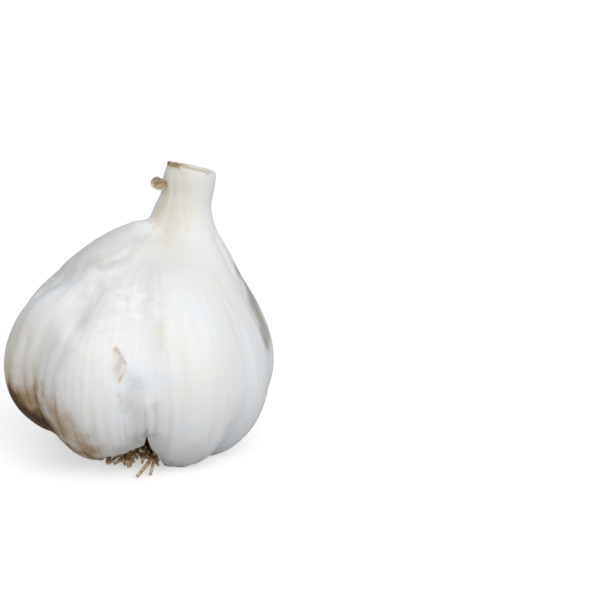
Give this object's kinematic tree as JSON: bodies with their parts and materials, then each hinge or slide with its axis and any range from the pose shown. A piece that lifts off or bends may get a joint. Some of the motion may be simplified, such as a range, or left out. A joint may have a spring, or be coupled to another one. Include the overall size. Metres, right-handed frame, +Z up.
{
  "type": "garlic bulb",
  "caption": "Whole dried garlic bulb: papery white skin stretched over a ring of fat cloves, a leaning cut neck at the top and a trimmed tuft of roots at the foot.",
  "frame": {"origin": "the middle of the bulb's outline, on the surface that it stands on", "axes": "+Z up through the neck, which leans to +X; the face with the broken skin over the roots looks along -Y"},
  "size_m": [0.0578, 0.0604, 0.0635],
  "materials": {
    "papery_skin": "thin dry skin, silky",
    "dried_sheaths": "dry and fibrous",
    "old_leaf": "dry and dull",
    "corky_root": "dry, corky, dull"
  },
  "bodies": {
    "root": {"wrapped_bulb": "papery_skin", "neck_core": "dried_sheaths", "dry_scrap": "old_leaf", "root_tuft": "corky_root"}
  },
  "joints": []
}
